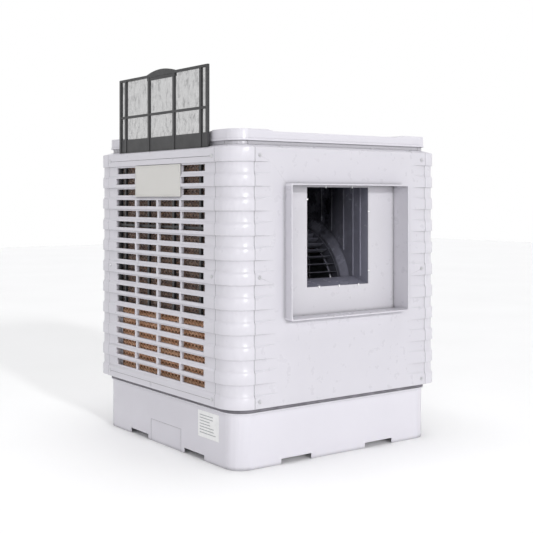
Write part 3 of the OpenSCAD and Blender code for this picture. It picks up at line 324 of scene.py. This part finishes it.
def cellulose(name, run, front):
    """Resin-stiffened paper: pale crests at its front face, and painted shade darker down the flutes.

    run is the axis along its depth, and front is where the depth starts on that axis."""
    g = Graph(name, Specular_IOR_Level=0.25)
    fibre = g.noise(260.0, 4.0, 0.65, at=g.stretch((1.0, 1.0, 0.4)))
    patch = g.noise(26.0, 5.0, 0.62)
    body = g.ramp(patch, (0.26, (0.62, 0.31, 0.16)), (0.48, (0.88, 0.53, 0.33)),
                  (0.70, (0.97, 0.70, 0.50)))
    body = g.mix(g.ramp(fibre, (0.35, 0.0), (0.7, 0.45)), body, (0.92, 0.70, 0.54, 1.0))
    specks = g.ramp(g.cells(150.0), (0.05, 1.0), (0.14, 0.0))
    body = g.mix(g.maths("MULTIPLY", specks, 0.35), body, (0.94, 0.88, 0.80, 1.0))
    # Painted shade: the paper darkens to near black down the flutes, away from its front face
    darkest = 0.020
    depth = g.maths("ABSOLUTE", g.maths("SUBTRACT", g.axis(run), front))
    deep = g.ramp(g.maths("DIVIDE", depth, darkest), (0.10, 0.0), (0.36, 0.60), (1.0, 0.92))
    body = g.mix(deep, body, (0.14, 0.055, 0.024, 1.0))
    return g.finish(body, g.ramp(fibre, (0.3, 0.78), (0.7, 0.95)), g.bump(fibre, 0.5, 0.0006))


def netting(name, run, pitch=0.0031):
    """Woven nylon net: dark threads with open windows between, denser and darker in its folds, the
    darkness partly painted shade. run is the axis along its width.
    """
    g = Graph(name, Specular_IOR_Level=0.4)
    turn = 2 * math.pi / pitch
    across = g.maths("COSINE", g.maths("MULTIPLY", g.axis(run), turn))
    up = g.maths("COSINE", g.maths("MULTIPLY", g.axis("Z"), turn))
    weave = g.maths("MAXIMUM", across, up)
    solid = g.ramp(weave, (0.25, 0.22), (0.75, 0.66))
    crumple = g.noise(62.0, 7.0, 0.78, at=g.stretch((1.0, 1.0, 0.42)))
    # Darker in the folds: partly the doubled net, partly painted shade
    body = g.ramp(crumple, (0.34, (0.035, 0.034, 0.038)), (0.50, (0.085, 0.083, 0.090)),
                  (0.70, (0.15, 0.148, 0.155)))
    folds = g.ramp(crumple, (0.36, 0.42), (0.50, 0.0))
    g.put(g.mix(folds, solid, (1.0, 1.0, 1.0, 1.0)), g.bsdf.inputs["Alpha"])
    return g.finish(body, g.ramp(weave, (0.2, 0.75), (0.9, 0.55)), g.bump(weave, 0.6, 0.0004))


def printed(name):
    """White film label with plain grey bars of uneven length, and no lettering."""
    g = Graph(name, Specular_IOR_Level=0.5, Coat_Weight=0.2)
    lo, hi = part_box("rating_sticker")
    rows, margin = 9, 0.8
    up = g.maths("MULTIPLY", g.maths("SUBTRACT", g.axis("Z"), lo.z), rows / (hi.z - lo.z))
    line = g.maths("FRACT", up)
    row = g.maths("FLOOR", up)
    along = g.maths("DIVIDE", g.maths("SUBTRACT", hi.y, g.axis("Y")), hi.y - lo.y)
    # A number from 0 to 1 that differs from row to row
    scatter = g.maths("SINE", g.maths("MULTIPLY", row, 12.99))
    reach = g.maths("FRACT", g.maths("MULTIPLY", scatter, 43.7))
    reach = g.maths("ADD", g.maths("MULTIPLY", reach, 0.45), 0.42)
    inked = g.maths("MULTIPLY", g.maths("GREATER_THAN", line, 0.38), g.maths("LESS_THAN", line, 0.66))
    inked = g.maths("MULTIPLY", inked, g.maths("GREATER_THAN", along, 0.08))
    inked = g.maths("MULTIPLY", inked, g.maths("LESS_THAN", along, reach))
    inked = g.maths("MULTIPLY", inked, g.maths("GREATER_THAN", up, margin))
    inked = g.maths("MULTIPLY", inked, g.maths("LESS_THAN", up, rows - margin))
    paper = g.ramp(g.noise(60.0), (0.3, 0.80), (0.7, 0.87))
    body = g.mix(g.maths("MULTIPLY", inked, 0.75), paper, (0.16, 0.17, 0.19, 1.0))
    shine = g.ramp(g.noise(45.0), (0.3, 0.32), (0.7, 0.46))
    return g.finish(body, shine, g.bump(g.noise(500.0), 0.06, 0.0001))


# ---------------------------------------------------------------- finishes of the CAD nodes

LILAC = (0.612, 0.599, 0.645)
cabinet_plastic = moulded("cabinet_plastic", LILAC, (0.27, 0.40), 0.10, 0.018)
outlet_plastic = moulded("outlet_plastic", tint(LILAC, 0.95), (0.25, 0.38), 0.10, 0.018)
# Painted light: the basin is tinted lighter than the cabinet, standing in for light thrown up off the
# floor
basin_plastic = moulded("basin_plastic", tint(LILAC, 1.09), (0.30, 0.44), 0.14, 0.022, dust=0.05)
lid_plastic = moulded("lid_plastic", tint(LILAC, 1.04), (0.28, 0.42), 0.16, 0.022)
plate_plastic = moulded("plate_plastic", (0.575, 0.563, 0.600), (0.25, 0.38), 0.08, 0.02)
clip_plastic = moulded("clip_plastic", (0.86, 0.86, 0.86), (0.16, 0.26), 0.05, 0.02)
badge = moulded("badge", (0.61, 0.598, 0.575), (0.30, 0.42), 0.06, 0.02)
trough_plastic = moulded("trough_plastic", (0.58, 0.59, 0.63), (0.30, 0.45), 0.12, 0.05)
float_plastic = moulded("float_plastic", (0.74, 0.75, 0.78), (0.22, 0.34), 0.05, 0.03)
filter_plastic = moulded("filter_plastic", (0.030, 0.030, 0.032), (0.34, 0.52), 0.20, 0.10)
scroll_plastic = ducting("scroll_plastic", (0.25, 0.25, 0.31), (0.008, 0.008, 0.012))
wheel_plastic = moulded("wheel_plastic", (0.075, 0.076, 0.096), (0.26, 0.42), 0.12, 0.12)
drain_plastic = moulded("drain_plastic", (0.030, 0.030, 0.033), (0.32, 0.50), 0.15, 0.10)
pipe_plastic = moulded("pipe_plastic", (0.028, 0.028, 0.032), (0.30, 0.46), 0.15, 0.10)
box_plastic = moulded("box_plastic", (0.110, 0.115, 0.130), (0.32, 0.46), 0.15, 0.06)
gland_plastic = moulded("gland_plastic", (0.014, 0.014, 0.016), (0.34, 0.52), 0.15, 0.10)
pump_plastic = moulded("pump_plastic", (0.035, 0.060, 0.130), (0.16, 0.30), 0.10, 0.06)
impeller_plastic = moulded("impeller_plastic", (0.52, 0.40, 0.10), (0.28, 0.42), 0.08, 0.05)
strainer_plastic = moulded("strainer_plastic", (0.022, 0.055, 0.150), (0.30, 0.44), 0.10, 0.06)
tray_steel = galvanised("tray_steel", (0.50, 0.51, 0.53))
frame_steel = galvanised("frame_steel", (0.44, 0.45, 0.48))
shaft_steel = turned("shaft_steel", (0.62, 0.62, 0.64), "X")
pulley_metal = turned("pulley_metal", (0.52, 0.53, 0.55), "X", (0.28, 0.48))
screw_steel = turned("screw_steel", (0.66, 0.66, 0.68), "Z", (0.22, 0.40))
brass = turned("brass", (0.66, 0.47, 0.17), "Y", (0.20, 0.38))
motor_paint = enamel("motor_paint", (0.030, 0.075, 0.190))
belt_rubber = rubber("belt_rubber", (0.012, 0.012, 0.013))
hose_rubber = rubber("hose_rubber", (0.022, 0.022, 0.024), ribs=260.0)
# Dark matt finish of the strip of painted shade under the cabinet's lower edge
painted_shade_rubber = rubber("painted_shade_rubber", (0.130, 0.125, 0.140))
label = printed("label")

# What each node is made of, and how far its edges are rounded, in mm
FINISH = {
    "basin": (basin_plastic, 1.6), "basin_floor": (basin_plastic, 0.6),
    "drain_fitting": (drain_plastic, 0.6), "overflow_standpipe": (box_plastic, 0.5),
    "column_front_left": (cabinet_plastic, 0.9), "column_front_right": (cabinet_plastic, 0.9),
    "column_rear_left": (cabinet_plastic, 0.9), "column_rear_right": (cabinet_plastic, 0.9),
    "outlet_panel": (outlet_plastic, 0.9), "mouth_plate": (plate_plastic, 0.5),
    "mouth_clips": (clip_plastic, 0.5), "grille_left": (cabinet_plastic, 0.8),
    "grille_rear": (cabinet_plastic, 0.8), "grille_right": (cabinet_plastic, 0.8),
    "nameplate": (badge, 0.8), "rating_sticker": (label, 0.0), "panel_screws": (screw_steel, 0.4),
    "lid": (lid_plastic, 2.2), "header_pipe": (pipe_plastic, 0.6), "riser_hose": (hose_rubber, 0.4),
    "pump_body": (pump_plastic, 0.8), "pump_impeller": (impeller_plastic, 0.3),
    "pump_strainer": (strainer_plastic, 0.4), "float_valve_body": (brass, 0.5),
    "float_arm": (brass, 0.3), "float_ball": (float_plastic, 0.3),
    "scroll_band": (scroll_plastic, 0.5), "scroll_cheek_left": (scroll_plastic, 0.5),
    "scroll_cheek_right": (scroll_plastic, 0.5), "inlet_ring_left": (scroll_plastic, 0.5),
    "inlet_ring_right": (scroll_plastic, 0.5), "blower_wheel": (wheel_plastic, 0.3),
    "blower_shaft": (shaft_steel, 0.6), "driven_pulley": (pulley_metal, 0.5),
    "shaft_bearings": (frame_steel, 0.8), "bearing_brackets": (frame_steel, 0.5),
    "blower_frame": (frame_steel, 0.5), "motor_body": (motor_paint, 0.6),
    "motor_shaft": (shaft_steel, 0.5), "motor_pulley": (pulley_metal, 0.5),
    "motor_bracket": (frame_steel, 0.4), "drive_belt": (belt_rubber, 0.5),
    "junction_box": (box_plastic, 1.5), "cable_gland": (gland_plastic, 0.5),
}
for side in SIDES:
    FINISH["filter_frame_" + side] = (filter_plastic, 0.7)
    FINISH["pad_tray_" + side] = (tray_steel, 0.3)
    FINISH["water_trough_" + side] = (trough_plastic, 0.4)


def soften(obj, width):
    """Rounds a CAD node's edges with modifiers only; width is in mm."""
    weld = obj.modifiers.new("weld", "WELD")
    weld.merge_threshold = 0.02 * MM
    bevel = obj.modifiers.new("bevel", "BEVEL")
    bevel.width = width * MM
    bevel.segments = 2
    bevel.limit_method = "ANGLE"
    bevel.angle_limit = math.radians(32)
    bevel.harden_normals = True


def dress(obj, material):
    """Puts one material in every slot of an object, or in a new one."""
    slots = obj.material_slots
    if len(slots) == 0:
        obj.data.materials.append(material)
    for slot in slots:
        slot.material = material


for name, (material, width) in FINISH.items():
    if name in NODES:
        dress(NODES[name], material)
        if width:
            soften(NODES[name], width)


# ---------------------------------------------------------------- new pieces

def piece(name, verts, faces, material, body, smooth=False):
    """A new mesh that rides on a CAD body, in the material given."""
    mesh = bpy.data.meshes.new(name)
    mesh.from_pydata(verts, [], faces)
    mesh.validate()
    obj = bpy.data.objects.new(name, mesh)
    scene.collection.objects.link(obj)
    mesh.materials.append(material)
    if smooth:
        for face in mesh.polygons:
            face.use_smooth = True
    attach(obj, body)
    return obj


class Wall:
    """A side of the cabinet: u runs along it, d goes inward from its face, z is up."""

    def __init__(self, side):
        self.side = side
        lo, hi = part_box("grille_" + side)
        self.face = {"left": lo.x, "rear": hi.y, "right": hi.x}[side]
        self.run = "X" if side == "rear" else "Y"

    def spot(self, u, d, z):
        """The point in the frame for a place on this wall."""
        if self.side == "left":
            return Vector((self.face + d, u, z))
        if self.side == "right":
            return Vector((self.face - d, u, z))
        return Vector((u, self.face - d, z))

    def spans(self, node):
        """(u range, d range, z range) of a CAD node."""
        lo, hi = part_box(node)
        u = (lo.x, hi.x) if self.side == "rear" else (lo.y, hi.y)
        near, far = {"left": (lo.x - self.face, hi.x - self.face),
                     "right": (self.face - hi.x, self.face - lo.x),
                     "rear": (self.face - hi.y, self.face - lo.y)}[self.side]
        return u, (near, far), (lo.z, hi.z)


def honeycomb(side):
    """A cellulose pad: upright corrugated sheets, glued crest to crest, with their flutes crossing.

    The flutes of every other sheet climb inward and those between fall, as in the real pad."""
    wall = Wall(side)
    (u0, u1), (d0, d1), (z0, z1) = wall.spans("pad_" + side)
    pitch, wave, paper = 11.0 * MM, 17.0 * MM, 1.0 * MM
    climb, fall = 38, -24
    waver, waver_turn, waver_rise = 0.4 * MM, 1.7, 31
    hair, sliver = 1e-6, 1e-5
    deep = d1 - d0
    step = wave / 8
    count = int((u1 - u0 - paper) / pitch)
    first = u0 + ((u1 - u0) - (count - 1) * pitch) / 2
    amp = (pitch - paper) / 2
    verts, faces = [], []
    for i in range(count):
        slope = math.tan(math.radians(climb if i % 2 else fall))
        shift = 0.0 if i % 2 else math.pi
        rise = deep * slope
        low = z0 - max(rise, 0.0)
        rows = int((z1 - z0 + abs(rise)) / step) + 2
        lean = waver * math.sin(i * waver_turn)
        last = None
        for j in range(rows):
            s = low + j * step
            ends = []
            for w in (0.0, deep):
                z = s + w * slope
                if z < z0 or z > z1:
                    z = min(max(z, z0), z1)
                    w = (z - s) / slope
                ends.append((w, z))
            outside = any(w < -hair or w > deep + hair for w, z in ends)
            if outside or abs(ends[0][0] - ends[1][0]) < sliver:
                last = None
                continue
            bend = math.cos(2 * math.pi * s / wave + shift)
            u = first + i * pitch + amp * bend + lean * math.sin(s * waver_rise)
            u = min(max(u, u0 + paper), u1 - paper)
            here = len(verts)
            verts += [wall.spot(u, d0 + w, z) for w, z in ends]
            if last is not None:
                faces.append((last, last + 1, here + 1, here))
            last = here
    front = wall.spot(0.0, d0, 0.0)
    depth_axis, start = ("Y", front.y) if side == "rear" else ("X", front.x)
    obj = piece("honeycomb_pad_" + side, verts, faces,
                cellulose("pad_paper_" + side, depth_axis, start), "cabinet")
    thick = obj.modifiers.new("paper", "SOLIDIFY")
    thick.thickness = paper
    thick.offset = 0.0
    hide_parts("pad_" + side)


def creased_net(side):
    """The net of a filter, tight on its frame at the edges and bars and crumpled between them."""
    wall = Wall(side)
    (u0, u1), (d0, d1), (z0, z1) = wall.spans("filter_mesh_" + side)
    width, height = u1 - u0, z1 - z0
    cols, rows = 150, 200
    rnd = random.Random({"left": 3, "rear": 5, "right": 8}[side])
    # The frame's upright bars, as shares of the net's width, and how near one the net lies flat
    bars = [0.075, 0.358, 0.642, 0.925]
    edge_free, bar_free = 18 * MM, 22 * MM
    lift, swell_depth, most = 0.55 * MM, 2.1 * MM, 1.6
    creases = []
    for k in range(34):
        # place along, middle and half height, lean, width and depth of one crease
        creases.append((rnd.uniform(0.02, 0.98), rnd.uniform(0.0, 1.0), rnd.uniform(0.10, 0.32),
                        rnd.uniform(-0.35, 0.35), rnd.uniform(0.006, 0.013), rnd.uniform(0.5, 1.0)))

    def swell(a, b):
        """How far the net stands off at shares a and b of its width and height."""
        total = 0.25 + 0.25 * math.sin(9 * a + 2.1 * b) * math.sin(7 * b + 1.3)
        for at, mid, half, lean, slim, tall in creases:
            along = (b - mid) / half
            if abs(along) < 1:
                off = a - at - lean * (b - mid) - 0.012 * math.sin(14 * b + 9 * at)
                total += tall * math.exp(-(off / slim) ** 2) * (1 - along * along)
        return total

    verts, faces = [], []
    base = d0 + lift
    for j in range(rows + 1):
        b = j / rows
        for i in range(cols + 1):
            a = i / cols
            edge = min(a, 1 - a) * width, min(b, 1 - b) * height
            free = min(1.0, min(edge) / edge_free)
            free *= min(1.0, min(abs(a - bar) for bar in bars) * width / bar_free)
            depth = base + free * swell_depth * min(most, swell(a, b))
            verts.append(wall.spot(u0 + a * width, depth, z0 + b * height))
    for j in range(rows):
        for i in range(cols):
            k = j * (cols + 1) + i
            faces.append((k, k + 1, k + cols + 2, k + cols + 1))
    obj = piece("filter_net_" + side, verts, faces, netting("net_" + side, wall.run),
                "filter_" + side, smooth=True)
    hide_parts("filter_mesh_" + side)


def rounded_strip(name, path, wide, high, out, material, body):
    """A raised strip with a crowned top along a closed path of points.

    out is the way its top faces; with None it faces away from the middle of a level path."""
    verts, faces = [], []
    profile = [(-0.5, 0.0), (-0.42, 0.8), (-0.2, 1.0), (0.2, 1.0), (0.42, 0.8), (0.5, 0.0)]
    total = len(path)
    for i, spot in enumerate(path):
        ahead = (path[(i + 1) % total] - path[i - 1]).normalized()
        face = out or ahead.cross(Vector((0, 0, 1))).normalized()
        aside = ahead.cross(face).normalized()
        for across, up in profile:
            verts.append(spot + aside * across * wide + face * up * high)
    n = len(profile)
    for i in range(total):
        for k in range(n):
            a, b = i * n + k, i * n + (k + 1) % n
            c, d = ((i + 1) % total) * n + (k + 1) % n, ((i + 1) % total) * n + k
            faces.append((a, b, c, d))
    return piece(name, verts, faces, material, body, smooth=True)


def rounded_loop(centre, u_dir, v_dir, half_u, half_v, radius, steps=6):
    """Points round a rectangle with rounded corners, in the plane of two directions."""
    points = []
    for q, (su, sv) in enumerate(((1, 1), (-1, 1), (-1, -1), (1, -1))):
        for i in range(steps + 1):
            turn = math.radians(90 * q + 90 * i / steps)
            points.append(centre + u_dir * (su * (half_u - radius) + radius * math.cos(turn))
                          + v_dir * (sv * (half_v - radius) + radius * math.sin(turn)))
    return points


for side in SIDES:
    honeycomb(side)
    creased_net(side)

# The raised rim of the blank nameplate
lo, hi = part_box("nameplate")
rim_in, rim_corner = 5 * MM, 8 * MM
plate_mid = Vector((lo.x, (lo.y + hi.y) / 2, (lo.z + hi.z) / 2))
rounded_strip("nameplate_rim",
              rounded_loop(plate_mid, Vector((0, 1, 0)), Vector((0, 0, 1)),
                           (hi.y - lo.y) / 2 - rim_in, (hi.z - lo.z) / 2 - rim_in, rim_corner),
              3.0 * MM, 0.5 * MM, Vector((-1, 0, 0)), badge, "cabinet")

# A dark strip of painted shade along the basin under the cabinet's lower edge, and the bead of the
# basin's rim below it
basin_lo, basin_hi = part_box("basin")
half_x, half_y = (basin_hi.x - basin_lo.x) / 2, (basin_hi.y - basin_lo.y) / 2
rim_radius = 64 * MM
for name, z, wide, high, material, slot in (
        ("basin_painted_shade_strip", basin_hi.z - 11 * MM, 13 * MM, 1.6 * MM, painted_shade_rubber, "belt_rubber"),
        ("basin_bead", basin_hi.z - 20 * MM, 4 * MM, 2.4 * MM, basin_plastic, "basin_plastic")):
    rounded_strip(name, rounded_loop(Vector((0, 0, z)), Vector((1, 0, 0)), Vector((0, 1, 0)),
                                     half_x, half_y, rim_radius, 14),
                  wide, high, None, material, "cabinet")

# ---------------------------------------------------------------- floor

ground = bpy.data.meshes.new("floor")
reach = 14.0
ground.from_pydata([(-reach, -reach, 0), (reach, -reach, 0), (reach, reach, 0), (-reach, reach, 0)],
                   [], [(0, 1, 2, 3)])
floor = bpy.data.objects.new("floor", ground)
scene.collection.objects.link(floor)
pale = Graph("floor_pale")
ground.materials.append(pale.finish(pale.ramp(pale.noise(1.2), (0.3, 0.92), (0.7, 0.94)),
                                    pale.ramp(pale.noise(3.0), (0.3, 0.62), (0.7, 0.72)),
                                    pale.bump(pale.noise(60.0), 0.03, 0.0005)))
